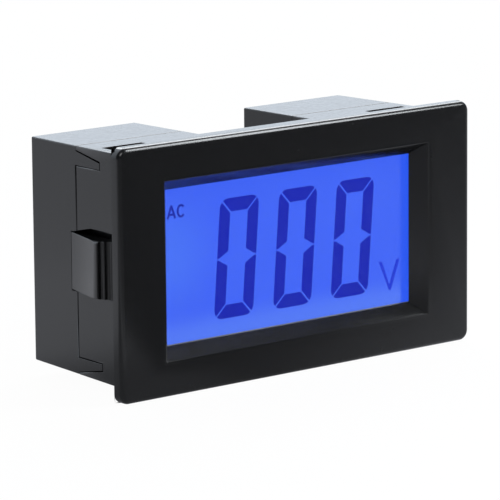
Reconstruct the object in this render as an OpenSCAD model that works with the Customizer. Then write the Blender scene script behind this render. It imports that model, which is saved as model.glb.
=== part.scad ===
// Snap-in LCD panel meter with a U-shaped rear housing, side latches and rear screw terminals.
// X runs to the right, Y to the rear and Z up. The origin is the centre of the panel cut-out,
// in the plane where the bezel's back face meets the panel.

/* [Bezel] */
// Width of the bezel
bezel_w = 79; // [77:0.5:90]
// Height of the bezel
bezel_h = 43; // [42:0.5:52]
// Thickness of the bezel flange
bezel_t = 2.2; // [1.8:0.1:3.5]
// Radius of the bezel's four corners
bezel_corner_r = 1.8; // [1.2:0.1:3.5]
// Radius that eases the bezel's front edge
bezel_edge_r = 0.9; // [0.3:0.1:1.1]

/* [Display window] */
// Width of the sloped window at the bezel's front face
window_w = 60; // [58:0.5:64]
// Height of the sloped window at the bezel's front face
window_h = 31; // [29:0.5:34]
// Width of the clear view at the foot of the slope
view_w = 54.8; // [48:0.2:56]
// Height of the clear view at the foot of the slope
view_h = 26.4; // [24:0.2:27.6]
// How far the window's centre sits below the bezel's centre
window_drop = 0.25; // [0:0.05:0.6]
// Thickness of the housing's front wall behind the panel plane
front_wall = 0.8; // [0.6:0.1:1.4]

/* [Housing] */
// Width of the housing where it leaves the bezel
body_w = 72.6; // [71.5:0.1:75]
// Height of the housing where it leaves the bezel
body_h = 39.6; // [39:0.1:41]
// Depth of the two rear towers behind the panel plane
tower_depth = 27.5; // [24:0.5:40]
// Depth of the shallow middle behind the panel plane
middle_depth = 10; // [9.8:0.1:11]
// Width of the space between the towers
gap_w = 24.8; // [23.5:0.1:27]
// Thickness of the moulded walls
wall = 1.6; // [1.2:0.1:1.8]
// How much each short side draws in from the bezel to the rear
side_draw_in = 1.4; // [0:0.1:1.8]
// How much the underside rises from the bezel to the rear
base_rise = 0.8; // [0:0.1:1.2]
// Depth of the seam between front shell and rear cover
seam_y = 14.5; // [13.8:0.1:15]
// Open width of the seam
seam_gap = 0.14; // [0.05:0.01:0.3]
// Length of the rear cover's lip inside the front shell
lip_length = 2.2; // [1:0.1:3]
// Thickness of that lip
lip_t = 0.9; // [0.6:0.1:1.1]
// Fitting clearance between the mouldings
fit = 0.1; // [0.05:0.01:0.2]

/* [Snap hooks] */
// Width of each snap window in the top and bottom walls
snap_w = 8.6; // [6:0.1:9]
// Distance of each snap window's centre from the middle
snap_x = 29.6; // [27:0.1:30]
// Depth of the rear edge of the snap windows
snap_y = 9.6; // [9.4:0.1:10.5]
// Length of the snap windows front to back
snap_l = 5; // [4:0.1:6]
// Thickness of the hooks' tongues
hook_t = 1.3; // [0.9:0.1:1.6]

/* [Corner keys] */
// Length of the tapered keys on the short sides
key_length = 6.9; // [5:0.1:8]
// Height of each key at its blunt front end
key_tip_h = 1.1; // [0.8:0.1:1.5]
// Height of each key at its root
key_root_h = 2.4; // [1.8:0.1:2.6]
// Height of the keys' inner edges above and below the middle
key_z = 16.5; // [15.5:0.1:16.6]

/* [Side latches] */
// Height of the latch
latch_h = 9.8; // [7:0.1:13]
// Working gap round the latch
latch_gap = 0.2; // [0.15:0.05:0.4]
// Open height above the latch's free end
latch_head_room = 1.2; // [0.5:0.1:1.6]
// Depth at which the slot starts to narrow towards the pivot
latch_taper_y = 11; // [9:0.5:13]
// Depth of the latch's pivot behind the panel plane
latch_pivot_y = 15.55; // [15.5:0.05:17]
// Depth of the latch's free end behind the panel plane
latch_tip_y = 3.8; // [3:0.1:4.2]
// How far the crest of the latch stands out of the side wall
latch_crest = 2.2; // [1.4:0.1:2.6]
// Distance from the free end to the crest
latch_crest_from_tip = 2.6; // [2.2:0.1:3]
// Thickness of the latch inside the wall's outer face
latch_t = 1.2; // [0.9:0.1:1.3]
// Radius of the latch's pivot bead, whose top stands a little out of the wall
latch_bead_r = 0.9; // [0.85:0.05:0.95]
// Radius of the latch's outer corners
latch_corner_r = 0.9; // [0.3:0.1:1.2]

/* [Liquid crystal display] */
// Room kept beside the glass for the latches and the screws
glass_side_room = 5.3; // [5.2:0.1:7]
// Room above and below the glass, inside the walls
glass_end_room = 1.2; // [1.1:0.1:1.6]
// Height of the front glass's two contact ledges
ledge_h = 2.3; // [2.1:0.1:2.6]
// Thickness of each glass plate
glass_t = 1.1; // [0.7:0.1:1.1]
// Gap between the glass plates
cell_gap = 0.1; // [0.05:0.01:0.15]
// Thickness of each film: polarizers, diffuser and reflector
film_t = 0.2; // [0.1:0.05:0.25]
// How far the films stop short of the glass at each side
film_inset = 0.8; // [0.4:0.1:1.2]
// How far the films stop short of the rear glass at top and bottom
film_end_inset = 0.4; // [0.2:0.1:0.8]
// Room for the lamps at each end of the light guide
lamp_room = 2.5; // [2.2:0.1:3]
// Thickness of the light guide
guide_t = 2; // [1.5:0.1:2.5]
// Height of a digit
digit_h = 20.6; // [16:0.1:21]
// Width of a digit, without its slant
digit_w = 8.6; // [7:0.1:9]
// Distance from digit to digit
digit_pitch = 13.2; // [12.5:0.1:14]
// Width of a segment's stroke
stroke = 2.3; // [1.6:0.1:2.6]
// Open gap between segments
segment_gap = 0.35; // [0.2:0.05:0.6]
// Lean of the digits in degrees
digit_lean = 4.6; // [0:0.1:8]
// Radius of the digits' outer corners
digit_corner_r = 1.7; // [1:0.1:2]
// How far the digits sit to the right of the window's centre
digit_shift = 2.35; // [0:0.05:3]
// How far the digits sit below the window's centre
digit_drop = 0.38; // [0:0.02:0.8]

/* [Circuit board] */
// Thickness of the circuit board
board_t = 1.6; // [1.2:0.1:1.6]
// Clearance round the board and the display holder
board_clear = 0.3; // [0.2:0.05:0.4]
// Distance of the board screws from the glass's side edge
board_screw_side = 1.5; // [1.4:0.05:1.6]
// Distance of the board screws from the middle, up and down
board_screw_z = 12; // [10:0.1:14]
// Radius of the board screws' shank
board_screw_r = 0.8; // [0.6:0.05:0.85]

/* [Screw terminals] */
// Width of the terminal block
block_w = 21.5; // [20:0.1:22]
// Height of the terminal block
block_h = 13; // [12:0.1:15]
// Thickness of the block's base
block_base = 4.5; // [4:0.1:5.5]
// Height of the barriers above the base
barrier_h = 6; // [5:0.1:7]
// Thickness of the barriers
barrier_t = 1.5; // [1:0.1:1.8]
// Thickness of the brass contacts
contact_t = 1; // [0.8:0.1:1.2]
// Gap at each side of a contact, in its channel
contact_gap = 0.7; // [0.3:0.1:1]
// Gap at each side of a wire clamp, in its channel
clamp_gap = 1; // [0.6:0.1:1.4]
// Thickness of the wire clamps
clamp_t = 0.8; // [0.6:0.1:1]
// Radius of the terminal screws' shank
screw_r = 1.45; // [1.2:0.05:1.5]
// Radius of the terminal screws' head
screw_head_r = 2.75; // [2.4:0.05:2.9]
// Thickness of the terminal screws' head
screw_head_t = 1.8; // [1.5:0.1:2]

/* [Trimmer] */
// Distance of the trimmer from the middle, across
trimmer_x = 20; // [19:0.5:24]
// Height of the trimmer above the middle
trimmer_z = 10; // [8:0.5:12]
// Side of the trimmer's square body
trimmer_side = 6.8; // [6:0.1:7.2]
// Radius of the tool hole in the rear wall
tool_hole_r = 1.6; // [1.4:0.1:2.2]

/* [Hidden] */

over = 1;          // extra length of a cut past the faces that it opens
round_faces = 64;  // facets of true round shapes
hull_faces = 32;   // facets of the bezel's rounded corners

black = [0.08, 0.08, 0.085];
smoke = [0.16, 0.16, 0.17];

// Planes of the stack, from the display's face to the board's rear.
display_y = front_wall;
front_glass_y = display_y + film_t;
cell_y = front_glass_y + glass_t;
rear_glass_y = cell_y + cell_gap;
rear_film_y = rear_glass_y + glass_t;
diffuser_y = rear_film_y + film_t;
guide_y = diffuser_y + film_t;
reflector_y = guide_y + guide_t;
board_y = reflector_y + film_t;
board_rear_y = board_y + board_t;

// Inside of the housing.
inner_w = body_w - 2 * wall;
glass_w = body_w - 2 * glass_side_room;
front_glass_h = body_h - 2 * wall - 2 * glass_end_room;
rear_glass_h = front_glass_h - 2 * ledge_h;
film_w = glass_w - 2 * film_inset;
film_h = rear_glass_h - 2 * film_end_inset;
guide_w = glass_w - 2 * lamp_room;
board_screw_x = glass_w / 2 + board_screw_side;
plate_y = middle_depth - wall;
gap_x = gap_w / 2;
lip_y = seam_y - lip_length;

// Half width of the housing and height of its underside at a given depth.
function side_x(y) = body_w / 2 - side_draw_in * y / tower_depth;
function base_z(y) = -body_h / 2 + base_rise * y / tower_depth;

// The board fits the housing where it is narrowest, at the board's rear face.
board_w = 2 * (side_x(board_rear_y) - wall - board_clear);
board_top = body_h / 2 - wall - board_clear;
board_foot = base_z(board_rear_y) + wall + board_clear;
board_h = board_top - board_foot;
board_lift = (board_top + board_foot) / 2;
// Height of the top wall (s = 1) or the bottom wall (s = -1) at a given depth.
function face_z(s, y) = s > 0 ? body_h / 2 : base_z(y);

// Outline in X and Y, pushed up from z0 to z1.
module along_z(z0, z1) {
    translate([0, 0, z0]) linear_extrude(z1 - z0) children();
}

// Outline in Y and Z, pushed right from x0 to x1.
module along_x(x0, x1) {
    translate([x0, 0, 0]) rotate([90, 0, 90]) linear_extrude(x1 - x0) children();
}

// Outline in X and Z, pushed back from y0 to y1.
module along_y(y0, y1) {
    translate([0, y1, 0]) rotate([90, 0, 0]) linear_extrude(y1 - y0) children();
}

// Block given by its lowest and highest corner.
module block(low, high) {
    translate(low) cube(high - low);
}

// Round bar along Y.
module bar_y(r, y0, y1) {
    translate([0, y1, 0]) rotate([90, 0, 0]) cylinder(r = r, h = y1 - y0, $fn = round_faces);
}

// Panel centred on the window, from depth y0, t thick.
module pane(w, h, y0, t) {
    block([-w / 2, y0, -window_drop - h / 2], [w / 2, y0 + t, -window_drop + h / 2]);
}

// Copies at the left and the right.
module both_sides() {
    children();
    mirror([1, 0, 0]) children();
}

// The drafted body between two depths, drawn in all round by inset.
module body_form(y0, y1, inset) {
    intersection() {
        along_z(-body_h, body_h) polygon([
            [-side_x(y0) + inset, y0], [side_x(y0) - inset, y0],
            [side_x(y1) - inset, y1], [-side_x(y1) + inset, y1]]);
        along_x(-body_w, body_w) polygon([
            [y0, base_z(y0) + inset], [y1, base_z(y1) + inset],
            [y1, body_h / 2 - inset], [y0, body_h / 2 - inset]]);
    }
}

// Everything behind depth y0 that lies between the towers, at_x from the middle.
module middle_space(at_x, y0) {
    block([-at_x, y0, -body_h], [at_x, tower_depth + over, body_h]);
}

// ---- Bezel and front shell ----

// One corner of the bezel: a disc whose front edge is eased.
module bezel_corner() {
    rotate([90, 0, 0]) rotate_extrude($fn = hull_faces) union() {
        square([bezel_corner_r, bezel_t - bezel_edge_r]);
        square([bezel_corner_r - bezel_edge_r, bezel_t]);
        translate([bezel_corner_r - bezel_edge_r, bezel_t - bezel_edge_r]) circle(bezel_edge_r);
    }
}

module bezel_plate() {
    hull() for (x = [-1, 1], z = [-1, 1])
        translate([x * (bezel_w / 2 - bezel_corner_r), 0, z * (bezel_h / 2 - bezel_corner_r)])
            bezel_corner();
}

// The sloped window: it narrows from the front face to the display.
module window_funnel() {
    depth = bezel_t + display_y;
    dx = (window_w - view_w) / 2 / depth;
    dz = (window_h - view_h) / 2 / depth;
    y0 = -bezel_t - over;
    y1 = display_y + over;
    wide = window_w / 2 + dx * over;
    narrow = view_w / 2 - dx * over;
    tall = window_h / 2 + dz * over;
    low = view_h / 2 - dz * over;
    translate([0, 0, -window_drop]) intersection() {
        along_z(-bezel_h, bezel_h)
            polygon([[-wide, y0], [wide, y0], [narrow, y1], [-narrow, y1]]);
        along_x(-bezel_w, bezel_w)
            polygon([[y0, -tall], [y1, -low], [y1, low], [y0, tall]]);
    }
}

// Outline of the upper key in Y and Z, grown by a clearance.
module key_outline(grow) {
    polygon([
        [seam_y - key_length - grow, key_z - grow],
        [seam_y + over, key_z - grow],
        [seam_y + over, key_z + key_root_h + grow],
        [seam_y, key_z + key_root_h + grow],
        [seam_y - key_length - grow, key_z + key_tip_h + grow]]);
}

// The four keys as bars that run out through the side walls.
module key_bars(grow) {
    both_sides() along_x(inner_w / 2 - side_draw_in - grow, body_w) {
        key_outline(grow);
        mirror([0, 1]) key_outline(grow);
    }
}

module snap_windows() {
    for (x = [-1, 1])
        block([x * snap_x - snap_w / 2, snap_y - snap_l, -body_h],
            [x * snap_x + snap_w / 2, snap_y, body_h]);
}

// The slots in the side walls that the latches work in. Above each latch the slot tapers
// from its full height down to the working gap at the pivot.
module latch_slots() {
    foot = -latch_h / 2 - latch_gap;
    front = latch_tip_y - latch_gap;
    both_sides() along_x(inner_w / 2 - 2 * wall, body_w / 2 + over)
        polygon([
            [front, foot], [latch_pivot_y, foot], [latch_pivot_y, -foot],
            [latch_taper_y, latch_h / 2 + latch_head_room], [front, latch_h / 2 + latch_head_room]]);
}

module front_shell() {
    color(black) difference() {
        union() {
            bezel_plate();
            body_form(-bezel_t / 4, seam_y - seam_gap, 0);
        }
        body_form(display_y, seam_y + over, wall);
        middle_space(gap_x, middle_depth);
        window_funnel();
        snap_windows();
        latch_slots();
        key_bars(seam_gap);
    }
}

// ---- Rear cover ----

// Side profile of a snap hook: a tongue with a barb that fills its window. Each point is
// a depth and a distance in from the outer face.
hook_face = wall + fit;
hook_tip_y = board_rear_y + 2 * fit;
hook_profile = [
    [lip_y + over, hook_face], [snap_y - fit, hook_face], [snap_y - fit, wall / 4],
    [snap_y - fit - wall / 4, wall / 4], [hook_tip_y + fit, hook_face],
    [hook_tip_y, hook_face + hook_t / 2], [hook_tip_y, hook_face + hook_t],
    [lip_y + over, hook_face + hook_t]];

module snap_hooks() {
    for (x = [-1, 1], s = [-1, 1])
        along_x(x * snap_x - snap_w / 2 + 2 * fit, x * snap_x + snap_w / 2 - 2 * fit)
            polygon([for (p = hook_profile) [p[0], face_z(s, p[0]) - s * p[1]]]);
}

// The pair of towers behind the seam, and what reaches forward inside the front shell.
module cover_outside() {
    difference() {
        body_form(seam_y, tower_depth, 0);
        middle_space(gap_x, 0);
    }
    difference() {
        body_form(lip_y, seam_y + over, wall + fit);
        middle_space(gap_x, 0);
    }
    difference() {
        block([-gap_x - wall, plate_y, -body_h], [gap_x + wall, seam_y + over, body_h]);
        middle_space(gap_x, middle_depth);
        difference() {
            block([-body_w, 0, -2 * body_h], [body_w, tower_depth, 2 * body_h]);
            body_form(-over, tower_depth + over, wall + fit);
        }
    }
    difference() {
        intersection() {
            body_form(seam_y - key_length, seam_y + over, 0);
            key_bars(0);
        }
        body_form(0, tower_depth, wall);
    }
    snap_hooks();
}

// The hollow of the two towers, narrowed inside the lip.
module cover_inside() {
    difference() {
        union() {
            body_form(seam_y, tower_depth - wall, wall);
            body_form(lip_y - over, seam_y + over, wall + fit + lip_t);
        }
        block([-gap_x - wall, 0, -body_h], [gap_x + wall, tower_depth, body_h]);
    }
}

// Pads that hold the board down.
pad_side = 2.4;
module board_pads() {
    for (x = [-1, 1], z = [-1, 1])
        translate([x * (gap_x - pad_side / 2), 0, z * (board_h / 2 - 2 * pad_side)])
            block([-pad_side / 2, board_rear_y + fit / 2, -pad_side / 2],
                [pad_side / 2, plate_y + over / 2, pad_side / 2]);
}

latch_pivot_x = side_x(latch_pivot_y) - wall / 2;
leg_w = 1.2;   // width of a contact's leg
leg_t = 1;     // height of that leg
leg_z = -4.6;  // foot of the contacts and their legs

// The holes that the two contacts' legs pass through, cleared by grow.
module leg_holes(grow, y0, y1) {
    for (x = [-1, 1])
        block([x * pole_pitch / 2 - leg_w / 2 - grow, y0, leg_z - grow],
            [x * pole_pitch / 2 + leg_w / 2 + grow, y1, leg_z + leg_t + grow]);
}

module rear_cover() {
    color(black) union() {
        difference() {
            cover_outside();
            cover_inside();
            latch_slots();
            both_sides() translate([latch_pivot_x, latch_pivot_y, -latch_h / 2 - latch_gap])
                cylinder(r = latch_bead_r + fit / 2, h = latch_h + 2 * latch_gap, $fn = round_faces);
            translate([trimmer_x, 0, trimmer_z])
                bar_y(tool_hole_r, tower_depth - wall - over, tower_depth + over);
            leg_holes(2 * fit, plate_y - over, middle_depth + over);
        }
        board_pads();
    }
}

// ---- Side latches ----

crest_y = latch_tip_y + latch_crest_from_tip;
crest_r = 0.35;
tooth = latch_crest / 2.4;
tooth_pitch = (latch_crest_from_tip - 2 * crest_r) / 2;
tooth_back = 0.85 * tooth_pitch;

// Outline of the right latch: a point is its distance out from the wall and its depth. It runs
// up the ramp, round the crest, down the two teeth and back along the inside.
latch_profile = concat(
    [[latch_bead_r - wall / 2, latch_pivot_y], [latch_crest, crest_y]],
    [for (a = [60, 30, 0])
        [latch_crest - crest_r + crest_r * sin(a), crest_y - crest_r - crest_r * cos(a)]],
    [[latch_crest - tooth, crest_y - 2 * crest_r],
     [latch_crest - tooth, crest_y - 2 * crest_r - tooth_back],
     [latch_crest - 2 * tooth, crest_y - 2 * crest_r - tooth_pitch],
     [latch_crest - 2 * tooth, latch_tip_y],
     [-latch_t, latch_tip_y],
     [-latch_t, latch_pivot_y]]);

// Looking along Y: a bar from the inside of the wall to past the crest, its outer corners round.
module latch_section() {
    reach = side_x(latch_tip_y) + latch_crest + fit;
    inside = side_x(tower_depth) - 2 * wall;
    translate([inside, -latch_h / 2]) square([reach - latch_corner_r - inside, latch_h]);
    translate([inside, latch_corner_r - latch_h / 2])
        square([reach - inside, latch_h - 2 * latch_corner_r]);
    for (z = [-1, 1])
        translate([reach - latch_corner_r, z * (latch_h / 2 - latch_corner_r)])
            circle(latch_corner_r, $fn = round_faces);
}

module latch() {
    color(black) union() {
        intersection() {
            along_z(-latch_h / 2, latch_h / 2)
                polygon([for (p = latch_profile) [side_x(p[1]) + p[0], p[1]]]);
            along_y(0, tower_depth) latch_section();
        }
        translate([latch_pivot_x, latch_pivot_y, -latch_h / 2])
            cylinder(r = latch_bead_r, h = latch_h, $fn = round_faces);
    }
}

module latch_right() {
    latch();
}

module latch_left() {
    mirror([1, 0, 0]) latch();
}

// ---- Liquid crystal display ----

module front_polarizer() {
    color([0.25, 0.45, 1, 0.35]) pane(film_w, film_h, display_y, film_t);
}

module front_glass() {
    color([0.7, 0.85, 1, 0.35]) pane(glass_w, front_glass_h, front_glass_y, glass_t);
}

module rear_glass() {
    color([0.7, 0.85, 1, 0.35]) pane(glass_w, rear_glass_h, rear_glass_y, glass_t);
}

module rear_polarizer() {
    color([0.25, 0.45, 1, 0.6]) pane(film_w, film_h, rear_film_y, film_t);
}

module diffuser() {
    color("white") pane(film_w, film_h, diffuser_y, film_t);
}

module light_guide() {
    color([0.4, 0.6, 1]) pane(guide_w, film_h, guide_y, guide_t);
}

module reflector() {
    color("silver") pane(guide_w, film_h, reflector_y, film_t);
}

seal_w = 0.8;
module edge_seal() {
    color("gainsboro") difference() {
        pane(glass_w - seal_w, rear_glass_h - seal_w, cell_y, cell_gap);
        pane(glass_w - 3 * seal_w, rear_glass_h - 3 * seal_w, cell_y - over, cell_gap + 2 * over);
    }
}

// A point of a digit, leaned over.
function lean(p) = [p[0] + p[1] * tan(digit_lean), p[1]];

corner_steps = 6;
module leaned(points) {
    polygon([for (p = points) lean(p)]);
}

// Outer edge of a digit: a rectangle with round corners.
function digit_edge() = [for (c = [[1, 1, 0], [-1, 1, 90], [-1, -1, 180], [1, -1, 270]],
    i = [0 : corner_steps]) let (a = c[2] + 90 * i / corner_steps)
    [c[0] * (digit_w / 2 - digit_corner_r) + digit_corner_r * cos(a),
     c[1] * (digit_h / 2 - digit_corner_r) + digit_corner_r * sin(a)]];

// The figure 0: six segments of a seven-segment digit, parted by mitred gaps.
module digit_zero() {
    w = digit_w / 2;
    h = digit_h / 2;
    cut = segment_gap * 0.7;
    waist = stroke * 0.4 + segment_gap;
    difference() {
        leaned(digit_edge());
        leaned([[stroke - w, stroke - h], [w - stroke, stroke - h],
            [w - stroke, h - stroke], [stroke - w, h - stroke]]);
        for (x = [-1, 1], z = [-1, 1])
            leaned([[x * (w + cut), z * h], [x * w, z * (h + cut)],
                [x * (w - stroke - over - cut), z * (h - stroke - over)],
                [x * (w - stroke - over), z * (h - stroke - over - cut)]]);
        for (x = [-1, 1])
            leaned([[x * (w + over), segment_gap / 2], [x * (w - segment_gap), segment_gap / 2],
                [x * (w - stroke), waist], [x * (w - stroke - over), waist],
                [x * (w - stroke - over), -waist], [x * (w - stroke), -waist],
                [x * (w - segment_gap), -segment_gap / 2], [x * (w + over), -segment_gap / 2]]);
    }
}

module lcd_segments() {
    color([0.1, 0.12, 0.6]) along_y(cell_y, rear_glass_y)
        for (i = [-1 : 1])
            translate([digit_shift + i * digit_pitch, -window_drop - digit_drop]) digit_zero();
}

// ---- Display holder, contact strips and backlight ----

holder_clear = 0.2;
holder_in_w = glass_w + 2 * holder_clear;
holder_in_h = front_glass_h + 2 * holder_clear;
notch_x = board_screw_x + holder_clear;

// What the board and the holder leave free for the latches to bend into.
module latch_room() {
    half = latch_h / 2 + latch_head_room + fit;
    both_sides() block([notch_x, -over, -half], [body_w / 2, board_rear_y + over, half]);
}

module board_screw_holes(r, y0, y1) {
    for (x = [-1, 1], z = [-1, 1])
        translate([x * board_screw_x, 0, board_lift + z * board_screw_z]) bar_y(r, y0, y1);
}

module board_outline(y0, y1) {
    block([-board_w / 2, y0, board_lift - board_h / 2], [board_w / 2, y1, board_lift + board_h / 2]);
}

holder_floor = 1.2;
module lcd_holder() {
    color("whitesmoke") difference() {
        board_outline(display_y, board_y);
        pane(holder_in_w, holder_in_h, display_y - over, board_y - display_y + 2 * over);
        latch_room();
        board_screw_holes(board_screw_r + fit / 2, display_y + holder_floor, board_y + over);
    }
}

strip_gap = 0.35;
strip_h = ledge_h - 2 * strip_gap;
module contact_strip(s) {
    z = s * (rear_glass_h + ledge_h) / 2 - window_drop;
    color("dimgray") block([-guide_w / 2, cell_y, z - strip_h / 2],
        [guide_w / 2, board_y, z + strip_h / 2]);
}

module contact_strip_top() {
    contact_strip(1);
}

module contact_strip_bottom() {
    contact_strip(-1);
}

// Four side-firing lamps between the light guide's edges and the holder.
led_w = lamp_room - holder_clear;
led_h = 3;
led_z = 7;
module backlight_leds() {
    color([0.5, 0.65, 1]) for (x = [-1, 1], z = [-1, 1])
        translate([x * (guide_w / 2 + holder_clear + led_w / 2), 0, z * led_z - window_drop])
            block([-led_w / 2, guide_y, -led_h / 2], [led_w / 2, board_y, led_h / 2]);
}

// ---- Circuit board and its parts ----

module circuit_board() {
    color([0.05, 0.35, 0.15]) difference() {
        board_outline(board_y, board_rear_y);
        latch_room();
        board_screw_holes(board_screw_r + 2 * fit, board_y - over, board_rear_y + over);
        leg_holes(2 * fit, board_y - over, board_rear_y + over);
    }
}

board_screw_start = display_y + 2;
board_screw_head_t = 1.1;
board_screw_slot = 0.5;
module board_screws() {
    color("silver") for (x = [-1, 1], z = [-1, 1])
        translate([x * board_screw_x, 0, board_lift + z * board_screw_z]) difference() {
            union() {
                bar_y(board_screw_r, board_screw_start, board_rear_y + board_screw_head_t / 2);
                bar_y(2 * board_screw_r, board_rear_y, board_rear_y + board_screw_head_t);
            }
            block([-board_screw_slot / 2, board_rear_y + board_screw_head_t / 2, -over * 2],
                [board_screw_slot / 2, board_rear_y + board_screw_head_t + over, over * 2]);
        }
}

// The board's parts keep this far from the tower's walls and from each other.
part_gap = 1;
tower_in_x = gap_x + wall + part_gap;
tower_out_x = side_x(tower_depth) - wall - part_gap / 2;

// Flat square chip package with a row of bent leads on each side.
chip_x = (tower_in_x + tower_out_x) / 2;
chip_z = board_foot + 0.3 * board_h;
chip_side = 10;
chip_t = 2;
chip_lift = 0.15;
chip_leads = 11;
lead_pitch = 0.8;
lead_w = 0.35;
lead_t = 0.2;
lead_bury = 0.3;
lead_run = 0.7;
lead_foot = 1.5;
lead_top = 1.1;

// Side view of one lead: out of the package, down to the board and out along it.
module lead_profile() {
    polygon([
        [lead_top, -lead_bury], [lead_top, lead_run], [lead_t, lead_run + lead_t],
        [lead_t, lead_foot], [0, lead_foot], [0, lead_run + lead_t / 2],
        [lead_top - lead_t, lead_run - lead_t], [lead_top - lead_t, -lead_bury]]);
}

module meter_chip() {
    color(smoke) translate([chip_x, board_rear_y, chip_z]) {
        block([-chip_side / 2, chip_lift, -chip_side / 2], [chip_side / 2, chip_t, chip_side / 2]);
        for (turn = [0 : 3], i = [0 : chip_leads - 1])
            rotate([0, 90 * turn, 0])
                translate([(i - (chip_leads - 1) / 2) * lead_pitch, 0, chip_side / 2])
                    along_x(-lead_w / 2, lead_w / 2) lead_profile();
    }
}

// Boxed part standing on the board, centred at x and z, with round corners.
module boxed_part(x, z, w, h, tall, r) {
    translate([x, 0, z]) along_y(board_rear_y, board_rear_y + tall) union() {
        square([w - 2 * r, h], center = true);
        square([w, h - 2 * r], center = true);
        for (a = [-1, 1], b = [-1, 1])
            translate([a * (w / 2 - r), b * (h / 2 - r)]) circle(r, $fn = round_faces);
    }
}

dropper = [8.5, 18, 14];  // width, height and depth of the capacitor that feeds the meter
dropper_corner_r = 0.6;
module dropper_capacitor() {
    color(smoke) boxed_part(-tower_out_x + dropper[0] / 2, 0, dropper[0], dropper[1], dropper[2],
        dropper_corner_r);
}

// Aluminium can with a rolled groove near its foot.
can_r = 4;
can_h = 12;
can_x = -(tower_in_x + can_r);
can_z = board_top - 0.25 * board_h;
can_ease = 0.4;
can_groove = [1.2, 0.7, 0.35];  // start, width and depth of the groove
module smoothing_capacitor() {
    slope = can_groove[2];
    groove_end = can_groove[0] + can_groove[1];
    color([0.1, 0.15, 0.3]) translate([can_x, board_rear_y, can_z]) rotate([-90, 0, 0])
        rotate_extrude($fn = round_faces) polygon([
            [0, 0], [can_r - can_ease, 0], [can_r, can_ease], [can_r, can_groove[0]],
            [can_r - slope, can_groove[0] + slope], [can_r - slope, groove_end],
            [can_r, groove_end + slope], [can_r, can_h - can_ease],
            [can_r - can_ease, can_h], [0, can_h]]);
}

film_cap = [5.4, 2.6, 7];  // width, height and depth of a film capacitor
film_cap_x = trimmer_x + trimmer_side / 2 + film_cap[0] / 2 + 1.3 * part_gap;
film_cap_pitch = film_cap[1] + 1.4 * part_gap;
film_cap_z = board_top - 0.29 * board_h;
film_cap_corner_r = 0.4;
module film_capacitors() {
    color([0.85, 0.65, 0.15]) for (i = [-1 : 1])
        boxed_part(film_cap_x, film_cap_z + i * film_cap_pitch, film_cap[0], film_cap[1],
            film_cap[2], film_cap_corner_r);
}

// Body of a part that lies along Z. At each end a wire runs out, bends and drops to the board.
wire_r = 0.3;
wire_bend = 2 * wire_r;
module lying_part(x, z, r, l) {
    drop = r + fit - wire_bend;
    translate([x, board_rear_y + r + fit, z]) {
        translate([0, 0, -l / 2]) cylinder(r = r, h = l, $fn = round_faces);
        for (s = [0, 1]) mirror([0, 0, s]) translate([0, 0, l / 2]) {
            cylinder(r = wire_r, h = wire_bend, $fn = round_faces);
            translate([0, -wire_bend, wire_bend]) rotate([90, 0, 90])
                rotate_extrude(angle = 90, $fn = round_faces)
                    translate([wire_bend, 0]) circle(wire_r, $fn = round_faces);
            translate([0, 0, 2 * wire_bend]) bar_y(wire_r, -wire_bend - drop, -wire_bend);
        }
    }
}

resistor_r = 1.2;
resistor_l = 6.4;
resistor_pitch = 2 * resistor_r + 0.8 * part_gap;
resistor_z = board_foot + 0.18 * board_h;
module divider_resistors() {
    color([0.75, 0.62, 0.45]) for (i = [0 : 2])
        lying_part(-tower_in_x - resistor_r - i * resistor_pitch, resistor_z, resistor_r, resistor_l);
}

diode_r = 0.9;
diode_l = 4.4;
diode_pitch = 2 * diode_r + part_gap / 2;
diode_z = board_foot + 0.46 * board_h;
module rectifier_diodes() {
    color(smoke) for (i = [0 : 3])
        lying_part(-tower_in_x - diode_r - i * diode_pitch, diode_z, diode_r, diode_l);
}

trimmer_t = 4.2;
trimmer_corner_r = 0.4;
rotor_r = 2.4;
rotor_t = 1.2;
rotor_stand = 0.3;
rotor_slot = 0.8;
rotor_arm = 0.6;  // share of the rotor's radius that the short arm covers
module trimmer_body() {
    color([0.1, 0.25, 0.6]) difference() {
        boxed_part(trimmer_x, trimmer_z, trimmer_side, trimmer_side, trimmer_t, trimmer_corner_r);
        translate([trimmer_x, 0, trimmer_z])
            bar_y(rotor_r + fit / 2, board_rear_y + trimmer_t - rotor_t, board_rear_y + trimmer_t + over);
    }
}

// The rotor's slot has a short arm to one side, which shows where it stands.
module trimmer_rotor() {
    face = board_rear_y + trimmer_t + rotor_stand;
    color("ivory") translate([trimmer_x, 0, trimmer_z]) difference() {
        bar_y(rotor_r, board_rear_y + trimmer_t - rotor_t + fit / 2, face);
        block([-rotor_slot / 2, face - rotor_slot, -rotor_r - over],
            [rotor_slot / 2, face + over, rotor_r + over]);
        block([0, face - rotor_slot, -rotor_slot / 2],
            [rotor_arm * rotor_r, face + over, rotor_slot / 2]);
    }
}

// ---- Screw terminals between the towers ----

channel_w = (block_w - 3 * barrier_t) / 2;
pole_pitch = channel_w + barrier_t;
contact_w = channel_w - 2 * contact_gap;
contact_h = 2 * abs(leg_z);
clamp_side = channel_w - 2 * clamp_gap;
base_y = middle_depth + block_base;
clamp_y = base_y + contact_t + fit;
head_y = clamp_y + clamp_t + fit / 2;
screw_well = 1;      // what the base leaves solid below a screw
screw_well_gap = 0.5;
screw_clear = 0.05;  // running clearance of a shank in its contact and its clamp

module terminal_block() {
    color(smoke) difference() {
        block([-block_w / 2, middle_depth, -block_h / 2],
            [block_w / 2, base_y + barrier_h, block_h / 2]);
        for (side = [-1, 1]) translate([side * pole_pitch / 2, 0, 0]) {
            block([-channel_w / 2, base_y, -block_h], [channel_w / 2, base_y + barrier_h + over, block_h]);
            bar_y(screw_r + screw_well_gap, middle_depth + screw_well, base_y + over);
        }
        leg_holes(fit, middle_depth - over, base_y + over);
    }
}

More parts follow.
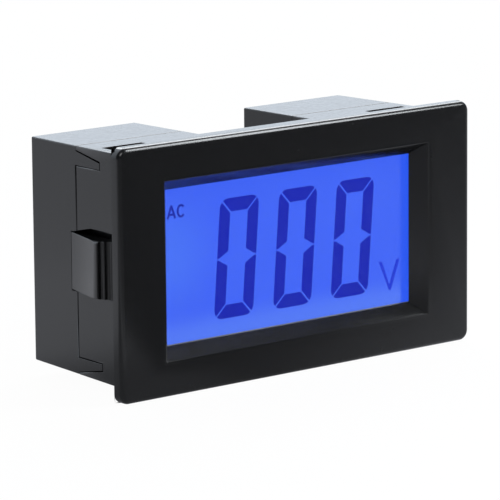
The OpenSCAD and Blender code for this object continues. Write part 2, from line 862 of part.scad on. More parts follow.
// Brass plate under the screw, with a leg that runs forward to the board.
module contact(side) {
    color("goldenrod") translate([side * pole_pitch / 2, 0, 0]) {
        difference() {
            block([-contact_w / 2, base_y, leg_z], [contact_w / 2, base_y + contact_t, contact_h + leg_z]);
            bar_y(screw_r + screw_clear, base_y - over, base_y + contact_t + over);
        }
        block([-leg_w / 2, board_y + 3 * fit, leg_z], [leg_w / 2, base_y + contact_t / 2, leg_z + leg_t]);
    }
}

module wire_clamp(side) {
    color("silver") translate([side * pole_pitch / 2, 0, 0]) difference() {
        block([-clamp_side / 2, clamp_y, -clamp_side / 2],
            [clamp_side / 2, clamp_y + clamp_t, clamp_side / 2]);
        bar_y(screw_r + screw_clear, clamp_y - over, clamp_y + clamp_t + over);
    }
}

slot_w = 0.8;
slot_depth = 0.9;
cross_arm = 0.6;  // share of the head's radius that the short slot covers
screw_tip_y = middle_depth + screw_well + 2 * fit;
module terminal_screw(side) {
    face = head_y + screw_head_t;
    arm = cross_arm * screw_head_r;
    color("silver") translate([side * pole_pitch / 2, 0, 0]) difference() {
        union() {
            bar_y(screw_r, screw_tip_y, head_y + over / 2);
            bar_y(screw_head_r, head_y, face);
        }
        block([-slot_w / 2, face - slot_depth, -2 * screw_head_r],
            [slot_w / 2, face + over, 2 * screw_head_r]);
        block([-arm, face - slot_depth, -slot_w / 2], [arm, face + over, slot_w / 2]);
    }
}

module contact_left() {
    contact(-1);
}

module contact_right() {
    contact(1);
}

module clamp_left() {
    wire_clamp(-1);
}

module clamp_right() {
    wire_clamp(1);
}

module terminal_screw_left() {
    terminal_screw(-1);
}

module terminal_screw_right() {
    terminal_screw(1);
}

front_shell();
rear_cover();
latch_left();
latch_right();
front_polarizer();
front_glass();
lcd_segments();
edge_seal();
rear_glass();
rear_polarizer();
diffuser();
light_guide();
reflector();
backlight_leds();
lcd_holder();
contact_strip_top();
contact_strip_bottom();
circuit_board();
board_screws();
meter_chip();
dropper_capacitor();
smoothing_capacitor();
film_capacitors();
divider_resistors();
rectifier_diodes();
trimmer_body();
trimmer_rotor();
terminal_block();
contact_left();
contact_right();
clamp_left();
clamp_right();
terminal_screw_left();
terminal_screw_right();
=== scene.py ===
"""Looks, light and camera of the snap-in panel meter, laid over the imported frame.

Everything is in metres in the part's own frame: X to the right, Y to the rear, Z up.
"""

import math

import bmesh
import bpy
import numpy as np
from mathutils import Matrix, Vector


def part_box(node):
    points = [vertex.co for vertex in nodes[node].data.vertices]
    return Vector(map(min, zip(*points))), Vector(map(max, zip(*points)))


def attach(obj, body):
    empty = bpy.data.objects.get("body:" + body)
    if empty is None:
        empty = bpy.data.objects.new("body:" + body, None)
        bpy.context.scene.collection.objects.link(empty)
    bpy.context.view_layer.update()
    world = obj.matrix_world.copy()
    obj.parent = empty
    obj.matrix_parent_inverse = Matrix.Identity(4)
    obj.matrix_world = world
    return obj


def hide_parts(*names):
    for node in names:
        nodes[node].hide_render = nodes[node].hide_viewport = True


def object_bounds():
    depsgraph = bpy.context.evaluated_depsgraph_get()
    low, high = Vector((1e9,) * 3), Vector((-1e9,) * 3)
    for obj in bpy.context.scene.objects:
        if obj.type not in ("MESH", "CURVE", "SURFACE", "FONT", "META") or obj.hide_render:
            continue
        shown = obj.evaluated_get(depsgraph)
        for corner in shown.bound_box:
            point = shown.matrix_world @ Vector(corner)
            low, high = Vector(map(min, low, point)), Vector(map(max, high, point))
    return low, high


MM = 0.001
EASE_ANGLE = math.radians(30)
SHARP_ANGLE = math.radians(35)
FLAT_ANGLE = math.radians(0.3)
MERGE = 0.0005 * MM
BROAD = 2.5 * MM
DISPLAY_STRENGTH = 1.1

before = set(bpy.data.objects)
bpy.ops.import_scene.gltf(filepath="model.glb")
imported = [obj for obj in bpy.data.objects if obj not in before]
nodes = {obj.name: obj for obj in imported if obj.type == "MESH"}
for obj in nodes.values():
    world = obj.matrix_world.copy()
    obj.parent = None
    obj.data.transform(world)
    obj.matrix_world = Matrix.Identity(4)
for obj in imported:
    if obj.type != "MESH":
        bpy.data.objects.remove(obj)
cad_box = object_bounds()


# ---- Camera ----

def meter_camera():
    """Stand the camera on the line of sight, with the least roll about it.

    back = (sin a cos e, -cos a cos e, sin e); right = -back x Z; up = right x -back; roll turns both.
    """
    azimuth, elevation, roll = (math.radians(v) for v in (-40.328, 10.663, -0.495))
    distance, aside, above = 0.663382, -7.384 * MM, -0.534 * MM
    back = Vector((math.sin(azimuth) * math.cos(elevation), -math.cos(azimuth) * math.cos(elevation),
                   math.sin(elevation)))
    level = (-back).cross(Vector((0, 0, 1))).normalized()
    upright = level.cross(-back)
    right = level * math.cos(roll) + upright * math.sin(roll)
    up = upright * math.cos(roll) - level * math.sin(roll)
    data = bpy.data.cameras.new("meter_camera")
    data.lens = 279.0225
    data.sensor_width = 36.0
    data.clip_start = 0.05
    data.clip_end = 20.0
    camera = bpy.data.objects.new("meter_camera", data)
    place = back * distance + right * aside + up * above
    camera.matrix_world = Matrix((
        (right.x, up.x, back.x, place.x), (right.y, up.y, back.y, place.y),
        (right.z, up.z, back.z, place.z), (0, 0, 0, 1)))
    bpy.context.scene.collection.objects.link(camera)
    bpy.context.scene.camera = camera


meter_camera()


# ---- Node helpers ----

def new_material(name):
    """An empty node material with its output node."""
    material = bpy.data.materials.new(name)
    material.use_nodes = True
    tree = material.node_tree
    tree.nodes.clear()
    return material, tree, tree.nodes.new("ShaderNodeOutputMaterial")


def add(tree, kind, inputs=None, **settings):
    """A node of that kind; inputs are values or links for its sockets, settings its properties."""
    node = tree.nodes.new(kind)
    for key, value in settings.items():
        setattr(node, key, value)
    for key, value in (inputs or {}).items():
        socket = node.inputs[key]
        if isinstance(value, bpy.types.NodeSocket):
            tree.links.new(value, socket)
        else:
            socket.default_value = value
    return node


def maths(tree, operation, *values):
    """Math node on values or links."""
    return add(tree, "ShaderNodeMath", dict(enumerate(values)), operation=operation).outputs[0]


def principled(tree, out, sockets):
    """Principled shader with these sockets, linked to the material's output."""
    shader = add(tree, "ShaderNodeBsdfPrincipled", sockets)
    tree.links.new(shader.outputs[0], out.inputs[0])


def remap(tree, value, low, high, to_low, to_high, kind="SMOOTHSTEP"):
    """Map Range node, eased at both ends."""
    return add(tree, "ShaderNodeMapRange", {0: value, 1: low, 2: high, 3: to_low, 4: to_high},
               interpolation_type=kind).outputs[0]


def object_place(tree):
    """The point in the part's frame, as a vector and as its X, Y and Z."""
    place = add(tree, "ShaderNodeTexCoord").outputs["Object"]
    return place, add(tree, "ShaderNodeSeparateXYZ", {0: place}).outputs


def grain(tree, place, size_mm, detail=2.0, rough=0.5, stretch=None):
    """Noise between 0 and 1 whose lumps measure size_mm, drawn out by stretch along X, Y and Z."""
    if stretch:
        place = add(tree, "ShaderNodeMapping", {
            "Vector": place, "Scale": [1 / s for s in stretch]}).outputs[0]
    return add(tree, "ShaderNodeTexNoise", {"Vector": place, "Scale": 1 / (size_mm * MM), "Detail": detail,
                                            "Roughness": rough}).outputs["Fac"]


def blend_colour(tree, amount, first, second):
    """Colour mix from first to second."""
    node = tree.nodes.new("ShaderNodeMix")
    node.data_type = "RGBA"
    for socket, value in ((node.inputs[0], amount), (node.inputs[6], first), (node.inputs[7], second)):
        if isinstance(value, bpy.types.NodeSocket):
            tree.links.new(value, socket)
        else:
            socket.default_value = value
    return node.outputs[2]


def colour_steps(tree, value, steps, kind="CONSTANT"):
    """Colour Ramp node: steps are pairs of a place between 0 and 1 and a colour."""
    node = add(tree, "ShaderNodeValToRGB", {0: value})
    ramp = node.color_ramp
    ramp.interpolation = kind
    ramp.elements.remove(ramp.elements[1])
    for index, (at, colour) in enumerate(steps):
        spot = ramp.elements[0] if index == 0 else ramp.elements.new(at)
        spot.position = at
        spot.color = (*colour, 1)
    return node.outputs[0]


def level_steps(tree, value, steps):
    """A level that runs straight from step to step: pairs of a value in metres and a level up to 1."""
    low, high = steps[0][0], steps[-1][0]
    share = remap(tree, value, low, high, 0.0, 1.0, "LINEAR")
    greys = [((at - low) / (high - low), (level,) * 3) for at, level in steps]
    return colour_steps(tree, share, greys, "LINEAR")


def further_than(tree, parts, centre, reach, axes):
    """1 where the point lies further than reach from centre along any of the axes, otherwise 0."""
    far = 0.0
    for axis in axes:
        gap = maths(tree, "ABSOLUTE", maths(tree, "SUBTRACT", parts[axis], centre[axis]))
        far = maths(tree, "MAXIMUM", far, maths(tree, "GREATER_THAN", gap, reach[axis]))
    return far


def toned(colour, share):
    """The colour made lighter or darker by a share, with alpha 1."""
    return [min(1.0, c * (1 + share)) for c in colour] + [1]


def centre_and_half(node):
    """Centre and half size of a node's box."""
    low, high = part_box(node)
    low, high = Vector(low), Vector(high)
    return (low + high) / 2, (high - low) / 2


def distance_from(tree, parts, x, z):
    """Distance from the line along Y through x and z: the root of the two offsets' squares."""
    return maths(tree, "SQRT", maths(tree, "ADD",
                                     maths(tree, "POWER", maths(tree, "SUBTRACT", parts[0], x), 2.0),
                                     maths(tree, "POWER", maths(tree, "SUBTRACT", parts[2], z), 2.0)))


# ---- Finishes ----

def moulded(name, colour, gloss, tone=0.15, grain_mm=0.12, depth_mm=0.0004, **sockets):
    """Moulded plastic: flow shading in the colour, uneven gloss, faint rubs and a fine eroded grain."""
    material, tree, out = new_material(name)
    place, _ = object_place(tree)
    flow = grain(tree, place, 16.0, 3.0)
    fine = grain(tree, place, grain_mm)
    speck = grain(tree, place, grain_mm * 8, 4.0, 0.6)
    rubs = grain(tree, place, 0.25, 3.0, 0.7, (14.0, 1.0, 6.0))
    shade = blend_colour(tree, flow, toned(colour, -tone), toned(colour, tone))
    dusty = maths(tree, "MULTIPLY", remap(tree, rubs, 0.62, 0.80, 0.0, 1.0), 0.10)
    shade = blend_colour(tree, dusty, shade, toned(colour, 1.5))
    rough = maths(tree, "ADD", remap(tree, speck, 0.3, 0.7, gloss - 0.03, gloss + 0.03),
                  remap(tree, rubs, 0.55, 0.80, 0.0, 0.05))
    height = maths(tree, "ADD", fine, maths(tree, "MULTIPLY", speck, 0.6))
    bump = add(tree, "ShaderNodeBump", {"Strength": 0.4, "Distance": depth_mm * MM, "Height": height})
    principled(tree, out, {
        "Base Color": shade, "Roughness": rough, "Normal": bump.outputs[0], "IOR": 1.54, **sockets})
    return material


def plated(name, colour, gloss, stretch=(1.0, 1.0, 1.0), grain_mm=0.2, dull=0.5):
    """Plated or stamped metal: drawn-out grain, dull spots and an uneven gloss."""
    material, tree, out = new_material(name)
    place, _ = object_place(tree)
    drawn = grain(tree, place, grain_mm, 3.0, 0.6, stretch)
    spots = grain(tree, place, 1.6, 4.0, 0.65)
    worn = remap(tree, spots, 0.50, 0.75, 0.0, 1.0)
    shade = blend_colour(tree, worn, toned(colour, 0.05), toned(colour, -0.35 * dull))
    rough = maths(tree, "ADD", remap(tree, drawn, 0.3, 0.7, gloss - 0.06, gloss + 0.06),
                  maths(tree, "MULTIPLY", worn, 0.2 * dull))
    bump = add(tree, "ShaderNodeBump", {"Strength": 0.35, "Distance": 0.004 * MM, "Height": drawn})
    principled(tree, out, {
        "Base Color": shade, "Roughness": rough, "Metallic": 1.0, "Normal": bump.outputs[0]})
    return material


def part_with_leads(name, body_shade, metal, gloss, tin=(0.72, 0.71, 0.69)):
    """Finish of a part and of its tinned leads: metal is 1 on the leads; body_shade(tree, place, parts)."""
    material, tree, out = new_material(name)
    place, parts = object_place(tree)
    leads = metal(tree, parts)
    shade = blend_colour(tree, leads, body_shade(tree, place, parts), (*tin, 1))
    lump = grain(tree, place, 0.35, 3.0)
    rough = maths(tree, "ADD", remap(tree, lump, 0.3, 0.7, gloss - 0.05, gloss + 0.05),
                  maths(tree, "MULTIPLY", leads, 0.28 - gloss))
    bump = add(tree, "ShaderNodeBump", {"Strength": 0.4, "Distance": 0.004 * MM, "Height": lump})
    principled(tree, out, {
        "Base Color": shade, "Roughness": rough, "Metallic": leads, "Normal": bump.outputs[0]})
    return material


def housing_black():
    """Black moulded plastic of the housing, satin with a fine grain."""
    return moulded("black_housing", (0.0060, 0.0060, 0.0064), 0.22)


def display_light():
    """Blue light of the display: greener by the lamps at the left, paler at the foot, deeper at the right."""
    material, tree, out = new_material("display_light")
    place, parts = object_place(tree)
    x, z = parts[0], parts[2]
    cloud = grain(tree, place, 9.0, 2.0)
    middle = blend_colour(tree, cloud, (0.050, 0.130, 0.985, 1), (0.060, 0.146, 1.0, 1))
    lamp = distance_from(tree, parts, -0.0250, 0.0010)
    shade = blend_colour(tree, remap(tree, lamp, 0.001, 0.0125, 0.9, 0.0), middle, (0.070, 0.184, 1.0, 1))
    shade = blend_colour(tree, remap(tree, z, -0.0135, -0.0085, 1.0, 0.0), shade, (0.098, 0.212, 1.0, 1))
    shade = blend_colour(tree, remap(tree, x, 0.0277, 0.0285, 0.0, 1.0), shade, (0.027, 0.110, 0.97, 1))
    principled(tree, out, {
        "Base Color": (0.01, 0.02, 0.08, 1), "Roughness": 0.4, "Specular IOR Level": 0.0,
        "Emission Color": shade, "Emission Strength": DISPLAY_STRENGTH})
    return material


def display_dark(name, colour):
    """Switched-on liquid crystal: the display's light with most of it held back, a little uneven."""
    material, tree, out = new_material(name)
    place, _ = object_place(tree)
    cloud = grain(tree, place, 3.0, 2.0)
    shade = blend_colour(tree, cloud, toned(colour, -0.06), toned(colour, 0.06))
    principled(tree, out, {
        "Base Color": (0.005, 0.006, 0.03, 1), "Roughness": 0.4, "Specular IOR Level": 0.0,
        "Emission Color": shade, "Emission Strength": DISPLAY_STRENGTH})
    return material


def clear_sheet(name, colour, alpha, gloss, **sockets):
    """Thin clear sheet: only a veil of its colour and of its gloss is seen, with a faint smear."""
    material, tree, out = new_material(name)
    place, _ = object_place(tree)
    smear = grain(tree, place, 5.0, 3.0, 0.6, (1.0, 1.0, 3.0))
    shade = blend_colour(tree, smear, toned(colour, -0.1), toned(colour, 0.1))
    rough = remap(tree, smear, 0.3, 0.7, gloss - 0.02, gloss + 0.03)
    principled(tree, out, {"Base Color": shade, "Roughness": rough, "Alpha": alpha, **sockets})
    return material


def striped_rubber():
    """Contact strip: dark conducting layers 0.1 mm apart between pale insulating ones."""
    material, tree, out = new_material("striped_rubber")
    place, parts = object_place(tree)
    layer = maths(tree, "PINGPONG", parts[0], 0.05 * MM)
    dark = remap(tree, layer, 0.020 * MM, 0.030 * MM, 0.0, 1.0)
    shade = blend_colour(tree, dark, (0.22, 0.22, 0.21, 1), (0.012, 0.012, 0.013, 1))
    lump = grain(tree, place, 0.3)
    bump = add(tree, "ShaderNodeBump", {"Strength": 0.3, "Distance": 0.004 * MM, "Height": lump})
    principled(tree, out, {
        "Base Color": shade, "Roughness": remap(tree, lump, 0.3, 0.7, 0.62, 0.75),
        "Normal": bump.outputs[0]})
    return material


def green_lacquer():
    """Board lacquer over its tracks: runs of parallel tracks, along X in some fields and Z in others."""
    material, tree, out = new_material("green_board")
    place, parts = object_place(tree)
    fields = add(tree, "ShaderNodeTexVoronoi", {"Vector": place, "Scale": 140.0, "Randomness": 0.8},
                 distance="MANHATTAN").outputs["Color"]
    pick = add(tree, "ShaderNodeSeparateColor", {0: fields}).outputs[0]
    turn = maths(tree, "GREATER_THAN", pick, 0.5)
    across = maths(tree, "ADD", maths(tree, "MULTIPLY", parts[0], turn),
                   maths(tree, "MULTIPLY", parts[2], maths(tree, "SUBTRACT", 1.0, turn)))
    lane = maths(tree, "PINGPONG", across, 0.55 * MM)
    track = remap(tree, lane, 0.16 * MM, 0.20 * MM, 1.0, 0.0)
    weave = grain(tree, place, 0.4, 2.0, 0.5, (3.0, 1.0, 1.0))
    shade = blend_colour(tree, track, (0.006, 0.060, 0.024, 1), (0.014, 0.115, 0.045, 1))
    shade = blend_colour(tree, maths(tree, "MULTIPLY", weave, 0.3), shade, (0.004, 0.035, 0.016, 1))
    height = maths(tree, "ADD", track, maths(tree, "MULTIPLY", weave, 0.15))
    bump = add(tree, "ShaderNodeBump", {"Strength": 0.5, "Distance": 0.03 * MM, "Height": height})
    principled(tree, out, {
        "Base Color": shade, "Roughness": remap(tree, weave, 0.3, 0.7, 0.22, 0.32),
        "Coat Weight": 0.4, "Normal": bump.outputs[0]})
    return material


def chip_finish():
    """Black chip package with a dot by its first lead, and tinned leads round it."""
    centre, half = centre_and_half("meter_chip")
    reach = [half.x - 1.5 * MM, 1.0, half.z - 1.5 * MM]

    def body(tree, place, parts):
        dot = distance_from(tree, parts, centre.x + 3.8 * MM, centre.z + 3.8 * MM)
        mark = maths(tree, "LESS_THAN", dot, 0.45 * MM)
        speck = grain(tree, place, 0.15)
        resin = blend_colour(tree, speck, (0.010, 0.010, 0.011, 1), (0.020, 0.020, 0.021, 1))
        return blend_colour(tree, mark, resin, (0.045, 0.045, 0.045, 1))

    return part_with_leads("chip_resin", body, lambda tree, parts: further_than(
        tree, parts, centre, reach, (0, 2)), 0.45)


def resistor_finish():
    """Beige resistor bodies with five colour bands, and tinned wires."""
    centre, half = centre_and_half("divider_resistors")
    body_half = half.z - 1.5 * MM
    coat = (0.47, 0.34, 0.19)
    bands = ((0.0, coat), (0.10, (0.16, 0.05, 0.02)), (0.19, coat), (0.30, (0.01, 0.01, 0.01)),
             (0.38, coat), (0.47, (0.01, 0.01, 0.01)), (0.55, coat), (0.64, (0.45, 0.16, 0.01)),
             (0.72, coat), (0.86, (0.16, 0.05, 0.02)), (0.94, coat))

    def body(tree, place, parts):
        along = remap(tree, parts[2], centre.z + body_half, centre.z - body_half, 0.0, 1.0, "LINEAR")
        return colour_steps(tree, along, bands)

    return part_with_leads("resistor_coat", body, lambda tree, parts: further_than(
        tree, parts, centre, [0, 0, body_half], (2,)), 0.34)


def diode_finish():
    """Black diode bodies with a pale band at one end, and tinned wires."""
    centre, half = centre_and_half("rectifier_diodes")
    body_half = half.z - 1.5 * MM
    black = (0.012, 0.012, 0.013)

    def body(tree, place, parts):
        along = remap(tree, parts[2], centre.z + body_half, centre.z - body_half, 0.0, 1.0, "LINEAR")
        return colour_steps(tree, along, ((0.0, black), (0.12, (0.45, 0.45, 0.44)), (0.30, black)))

    return part_with_leads("diode_resin", body, lambda tree, parts: further_than(
        tree, parts, centre, [0, 0, body_half], (2,)), 0.38)


def can_finish():
    """Dark sleeve of the smoothing capacitor with a pale stripe, open over the bare can's end."""
    centre, half = centre_and_half("smoothing_capacitor")

    def end_disc(tree, parts):
        out_from = distance_from(tree, parts, centre.x, centre.z)
        end = maths(tree, "GREATER_THAN", parts[1], centre.y + half.y - 0.05 * MM)
        return maths(tree, "MULTIPLY", end, maths(tree, "LESS_THAN", out_from, half.x - 0.7 * MM))

    def body(tree, place, parts):
        stripe = maths(tree, "LESS_THAN", parts[0], centre.x - half.x * 0.86)
        sleeve = blend_colour(tree, grain(tree, place, 2.0),
                              (0.008, 0.014, 0.060, 1), (0.012, 0.022, 0.085, 1))
        return blend_colour(tree, stripe, sleeve, (0.42, 0.45, 0.50, 1))

    return part_with_leads("can_sleeve", body, end_disc, 0.24, (0.80, 0.80, 0.80))


finishes = {
    "front_polarizer": clear_sheet("polarizer_film", (0.010, 0.014, 0.05), 0.10, 0.14),
    "front_glass": clear_sheet("display_glass", (0.4, 0.6, 1.0), 0.02, 0.05, **{"Specular IOR Level": 0.0}),
    "rear_glass": clear_sheet("rear_display_glass", (0.4, 0.6, 1.0), 0.02, 0.05,
                              **{"Specular IOR Level": 0.0}),
    "lcd_segments": display_dark("display_dark", (0.0100, 0.0190, 0.470)),
    "edge_seal": moulded("seal_resin", (0.45, 0.45, 0.42), 0.5, 0.08),
    "rear_polarizer": display_light(),
    "diffuser": moulded("white_film", (0.82, 0.84, 0.86), 0.55, 0.04),
    "light_guide": moulded("clear_acrylic", (0.20, 0.42, 0.95), 0.12, 0.05, 0.8, 0.004),
    "reflector": plated("silver_film", (0.86, 0.86, 0.87), 0.20, (1, 1, 8), 0.5, 0.2),
    "backlight_leds": moulded("led_lens", (0.35, 0.50, 0.95), 0.22, 0.05),
    "lcd_holder": moulded("white_plastic", (0.72, 0.72, 0.69), 0.40, 0.06),
    "contact_strip_top": striped_rubber(),
    "circuit_board": green_lacquer(),
    "board_screws": plated("plated_steel", (0.66, 0.65, 0.62), 0.28),
    "meter_chip": chip_finish(),
    "dropper_capacitor": moulded("dark_case", (0.016, 0.016, 0.018), 0.32, 0.2),
    "smoothing_capacitor": can_finish(),
    "film_capacitors": moulded("yellow_case", (0.62, 0.33, 0.025), 0.24, 0.12, 0.5, 0.004),
    "divider_resistors": resistor_finish(),
    "rectifier_diodes": diode_finish(),
    "trimmer_body": moulded("blue_case", (0.012, 0.060, 0.30), 0.30, 0.1),
    "trimmer_rotor": moulded("rotor_plastic", (0.72, 0.71, 0.66), 0.36, 0.06),
    "terminal_block": moulded("terminal_resin", (0.014, 0.014, 0.015), 0.38, 0.2, 0.2, 0.003),
    "contact_left": plated("brass_plate", (0.76, 0.52, 0.20), 0.26, (8, 1, 1), 0.2, 0.7),
}
finishes["rear_cover"] = finishes["front_shell"] = housing_black()
finishes["latch_left"] = finishes["latch_right"] = finishes["front_shell"]
finishes["contact_strip_bottom"] = finishes["contact_strip_top"]
finishes["contact_right"] = finishes["contact_left"]
for name in ("clamp_left", "clamp_right", "terminal_screw_left", "terminal_screw_right"):
    finishes[name] = finishes["board_screws"]
for name, finish in finishes.items():
    nodes[name].data.materials.clear()
    nodes[name].data.materials.append(finish)


# ---- Eased mouldings ----

def merged_copy(node, name):
    """Copy of a node's mesh with its loose triangles joined and its flat faces made whole."""
    mesh = nodes[node].data.copy()
    mesh.name = name
    shape = bmesh.new()
    shape.from_mesh(mesh)
    bmesh.ops.remove_doubles(shape, verts=shape.verts, dist=MERGE)
    bmesh.ops.dissolve_limit(shape, angle_limit=FLAT_ANGLE, verts=shape.verts, edges=shape.edges)
    return mesh, shape


def eased(node, name, body, widest_mm, edge_mm, mend=None):
    """The node's moulding with its outer edges rounded, as a mould leaves them.

    edge_mm(edge, broad) gives an edge's radius; broad says that it is long and lies between two
    large faces. Edges that turn inwards or by less than 30 degrees stay as they are. mend(shape) may
    move points first.
    """
    mesh, shape = merged_copy(node, name)
    if mend:
        mend(shape)
    weight = shape.edges.layers.float.new("bevel_weight_edge")
    for edge in shape.edges:
        if len(edge.link_faces) != 2 or not edge.is_convex:
            continue
        if edge.calc_face_angle(0.0) < EASE_ANGLE:
            continue
        broad = min(face.calc_area() for face in edge.link_faces) > BROAD ** 2
        broad = broad and edge.calc_length() > BROAD
        edge[weight] = edge_mm(edge, broad) / widest_mm
    for face in shape.faces:
        face.smooth = True
    shape.to_mesh(mesh)
    shape.free()
    piece = bpy.data.objects.new(name, mesh)
    bpy.context.scene.collection.objects.link(piece)
    mesh.set_sharp_from_angle(angle=SHARP_ANGLE)
    rounding = piece.modifiers.new("eased_edges", "BEVEL")
    rounding.limit_method = "WEIGHT"
    rounding.width = widest_mm * MM
    rounding.segments = 3
    rounding.use_clamp_overlap = False
    rounding.harden_normals = True
    mesh.materials.clear()
    mesh.materials.append(finishes[node])
    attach(piece, body)
    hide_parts(node)
    return piece


WINDOW_RIM_MM = 0.42
SHELL_MM = 0.20
TOWER_MM = 0.25
LATCH_MM = 0.18
RIB_MM = 0.06
CRISP_MM = 0.04
FRONT_Y = -2.15 * MM
WINDOW_REACH_X = 30.5 * MM
SNAP_FRONT_Y = 4.0 * MM
SNAP_REAR_Y = 10.0 * MM
SNAP_INNER_X = 25.0 * MM
SNAP_OUTER_X = 34.2 * MM
SEAM_Y = 14.5 * MM
SEAM_CLOSED_BY = 0.10 * MM
ON_SEAM = 0.01 * MM
HOOK_X = 29.6 * MM
HOOK_REACH_X = 5 * MM
HOOK_REAR_Y = 11.5 * MM
HOOK_FOOT_Z = 15 * MM


def shell_edge(edge, broad):
    """Bezel shell: softest round the display window, crisp round the snap windows, eased elsewhere."""
    front = max(vert.co.y for vert in edge.verts) < FRONT_Y
    if front and max(abs(vert.co.x) for vert in edge.verts) < WINDOW_REACH_X:
        return WINDOW_RIM_MM
    snap_window = all(SNAP_FRONT_Y < vert.co.y < SNAP_REAR_Y
                      and SNAP_INNER_X < abs(vert.co.x) < SNAP_OUTER_X for vert in edge.verts)
    return SHELL_MM if broad and not snap_window else CRISP_MM


def cover_edge(edge, broad):
    """Rear housing: crisp at the seam, soft at the towers' corners."""
    behind_seam = min(vert.co.y for vert in edge.verts) > SEAM_Y - 2 * SEAM_CLOSED_BY
    return TOWER_MM if broad and behind_seam else CRISP_MM


def latch_edge(edge, broad):
    """Latch: soft along its large faces, finer on the grip's ribs."""
    return LATCH_MM if broad else RIB_MM


def close_seam(shape):
    """Draw the rear housing's rim forward by 0.1 mm, so that the seam shows as a fine line."""
    for vert in shape.verts:
        if abs(vert.co.y - SEAM_Y) < ON_SEAM:
            vert.co.y -= SEAM_CLOSED_BY


def paint_shade_on_hooks(housing):
    """Paint shade on the snap hooks' faces: a darker black than the outer skin's, rough and with almost no
    gloss.
    """
    # Painted shade: a darker base colour with its gloss nearly taken away, so that the hooks read dark.
    housing.data.materials.append(moulded("hook_painted_shade", (0.004, 0.004, 0.004), 0.85, 0.2, 0.25, 0.004,
                                          **{"Specular IOR Level": 0.05}))
    for face in housing.data.polygons:
        x, y, z = face.center
        if y < HOOK_REAR_Y and abs(abs(x) - HOOK_X) < HOOK_REACH_X and abs(z) > HOOK_FOOT_Z:
            face.material_index = 1


eased("front_shell", "bezel_shell", "housing", WINDOW_RIM_MM, shell_edge)
paint_shade_on_hooks(eased("rear_cover", "rear_housing", "housing", TOWER_MM, cover_edge,
                 close_seam))
for side in ("left", "right"):
    eased("latch_" + side, "snap_latch_" + side, side + "_latch", LATCH_MM, latch_edge)


# ---- Unit marks on the display ----

def cell_mark(name, outlines, colour):
    """Flat marks in the liquid crystal's plane: each outline in X and Z (mm), as thick as the cell."""
    low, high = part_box("lcd_segments")
    points, faces = [], []
    for outline in outlines:
        ring = np.array(outline) * MM
        count, first = len(ring), len(points)
        for y in (low[1], high[1]):
            points.extend(np.column_stack([ring[:, 0], np.full(count, y), ring[:, 1]]).tolist())
        faces.append([first + i for i in range(count)])
        faces.append([first + count + i for i in reversed(range(count))])
        faces.extend([first + i, first + count + i, first + count + (i + 1) % count, first + (i + 1) % count]
                     for i in range(count))
    mesh = bpy.data.meshes.new(name)
    mesh.from_pydata(points, [], faces)
    shape = bmesh.new()
    shape.from_mesh(mesh)
    bmesh.ops.recalc_face_normals(shape, faces=shape.faces)
    shape.to_mesh(mesh)
    shape.free()
    piece = bpy.data.objects.new(name, mesh)
    bpy.context.scene.collection.objects.link(piece)
    mesh.materials.append(display_dark(name + "_ink", colour))
    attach(piece, "housing")


def bar(x0, z0, x1, z1, width):
    """Straight stroke from one point to the other: its four corners are half a width to each side."""
    start, end = np.array([x0, z0]), np.array([x1, z1])
    along = (end - start) / np.linalg.norm(end - start)
    side = np.array([-along[1], along[0]]) * width / 2
    return [start + side, end + side, end - side, start - side]


def arc(x, z, half_w, half_h, turn_from, turn_to, width, steps=14):
    """Curved stroke: an ellipse's edge from one angle to the other, out by half a width and back in."""
    angles = np.radians(np.linspace(turn_from, turn_to, steps))
    outer, inner = (np.column_stack([x + (half_w + grow) * np.cos(angles),
                                     z + (half_h + grow) * np.sin(angles)])
                    for grow in (width / 2, -width / 2))
    return np.vstack([outer, inner[::-1]])


volt_mark = [[(21.75, -5.8), (22.45, -5.8), (24.20, -10.15), (25.95, -5.8), (26.65, -5.8), (24.55, -11.1),
              (24.15, -11.1)]]
cell_mark("unit_mark_volts", volt_mark, (0.0210, 0.0500, 0.730))
stroke = 0.36
ac_mark = [bar(-25.85, 7.70, -25.03, 9.90, stroke), bar(-24.23, 7.70, -25.05, 9.90, stroke),
           bar(-25.53, 8.35, -24.55, 8.35, stroke), arc(-22.95, 8.80, 0.72, 0.98, 42, 318, stroke)]
cell_mark("unit_mark_ac", ac_mark, (0.0160, 0.0290, 0.42))


# ---- Stage ----

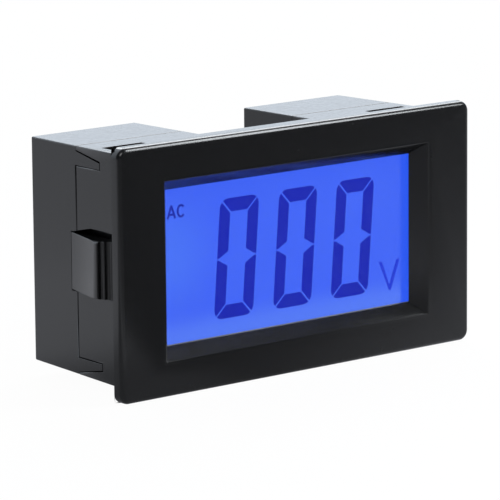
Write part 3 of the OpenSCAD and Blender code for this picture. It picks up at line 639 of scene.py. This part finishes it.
def white_table():
    """Flat floor just under the bezel's lower edge, white to the eye, that keeps the shadow.

    In gloss its level runs by steps, as painted light and shade: one row of them right of the meter's middle,
    one left of it, mostly darker in front of the meter where its shadow falls and brighter behind it.
    """
    half, clear = 3.0, 0.05 * MM
    floor_z = cad_box[0].z - clear
    mesh = bpy.data.meshes.new("table_top")
    mesh.from_pydata([(-half, -half, floor_z), (half, -half, floor_z), (half, half, floor_z),
                      (-half, half, floor_z)], [], [(0, 1, 2, 3)])
    table = bpy.data.objects.new("table_top", mesh)
    bpy.context.scene.collection.objects.link(table)
    material, tree, out = new_material("white_table")
    _, parts = object_place(tree)
    # Painted light and shade for glossy rays: the floor's level in reflections is low in front of the meter,
    # standing in for its shadow, and high behind it.
    along = maths(tree, "ADD", maths(tree, "MULTIPLY", parts[0], 0.55),
                  maths(tree, "MULTIPLY", parts[1], 0.83))
    right = level_steps(tree, along, ((-0.070, 0.10), (-0.045, 0.11), (-0.025, 0.16), (-0.012, 0.20),
                                      (-0.007, 0.24), (0.003, 0.36), (0.015, 0.55), (0.030, 0.70)))
    left = level_steps(tree, parts[1], ((-0.100, 0.24), (-0.062, 0.34), (-0.050, 0.70), (-0.034, 0.70),
                                        (-0.028, 0.32), (0.000, 0.30), (0.020, 0.32), (0.042, 0.76),
                                        (0.100, 0.84), (0.130, 0.70)))
    side = remap(tree, parts[0], -0.020, -0.004, 0.0, 1.0)
    level = maths(tree, "ADD", maths(tree, "MULTIPLY", side, right),
                  maths(tree, "MULTIPLY", maths(tree, "SUBTRACT", 1.0, side), left))
    path = add(tree, "ShaderNodeLightPath")
    glossy = path.outputs["Is Glossy Ray"]
    seen = maths(tree, "MAXIMUM", path.outputs["Is Camera Ray"], path.outputs["Is Transmission Ray"])
    paper = add(tree, "ShaderNodeBsdfDiffuse", {"Color": (0.8, 0.8, 0.8, 1)})
    white = add(tree, "ShaderNodeEmission", {
        "Color": blend_colour(tree, glossy, (1, 1, 1, 1), (0.95, 0.975, 1.05, 1)),
        "Strength": maths(tree, "MAXIMUM", seen, maths(tree, "MULTIPLY", glossy, level))})
    cover = maths(tree, "MAXIMUM", maths(tree, "MULTIPLY", seen, 0.97), glossy)
    mix = add(tree, "ShaderNodeMixShader", {0: cover, 1: paper.outputs[0], 2: white.outputs[0]})
    tree.links.new(mix.outputs[0], out.inputs[0])
    table.data.materials.append(material)


def studio_air():
    """World: white to the eye; for the meter bright behind, a little blue, and dim in front."""
    world = bpy.data.worlds.new("studio_air")
    bpy.context.scene.world = world
    world.use_nodes = True
    tree = world.node_tree
    tree.nodes.clear()
    out = tree.nodes.new("ShaderNodeOutputWorld")
    way = add(tree, "ShaderNodeTexCoord").outputs["Generated"]
    facing = add(tree, "ShaderNodeVectorMath", {0: way, 1: (0.20, 0.95, 0.24)}, operation="DOT_PRODUCT")
    level = remap(tree, facing.outputs["Value"], 0.30, 0.85, 0.09, 1.6)
    path = add(tree, "ShaderNodeLightPath")
    eye = path.outputs["Is Camera Ray"]
    shade = blend_colour(tree, eye, (0.88, 0.97, 1.08, 1), (1, 1, 1, 1))
    strength = maths(tree, "ADD", eye, maths(tree, "MULTIPLY", maths(tree, "SUBTRACT", 1.0, eye), level))
    back = add(tree, "ShaderNodeBackground", {"Color": shade, "Strength": strength})
    tree.links.new(back.outputs[0], out.inputs[0])


def soft_box(name, place, aim, width, height, power, colour=(1, 1, 1)):
    """Rectangular lamp at place that looks at aim, itself out of sight."""
    data = bpy.data.lights.new(name, "AREA")
    data.shape = "RECTANGLE"
    data.size, data.size_y = width, height
    data.energy = power
    data.color = colour
    lamp = bpy.data.objects.new(name, data)
    lamp.location = place
    lamp.visible_camera = False
    lamp.rotation_euler = (Vector(aim) - Vector(place)).to_track_quat("-Z", "Y").to_euler()
    bpy.context.scene.collection.objects.link(lamp)


white_table()
studio_air()
soft_box("rim_box", (0.52, 0.55, 0.65), (0, 0, 0), 0.70, 0.50, 6.0, (0.97, 0.99, 1.0))
soft_box("low_box", (0.134, -0.119, 0.157), (-0.022, -0.002, -0.015), 0.09, 0.14, 0.5, (0.93, 0.97, 1.0))
soft_box("side_box", (-0.52, -0.72, 0.74), (0, 0, 0), 0.6, 0.5, 3.0)

bpy.context.scene.view_settings.view_transform = "Standard"
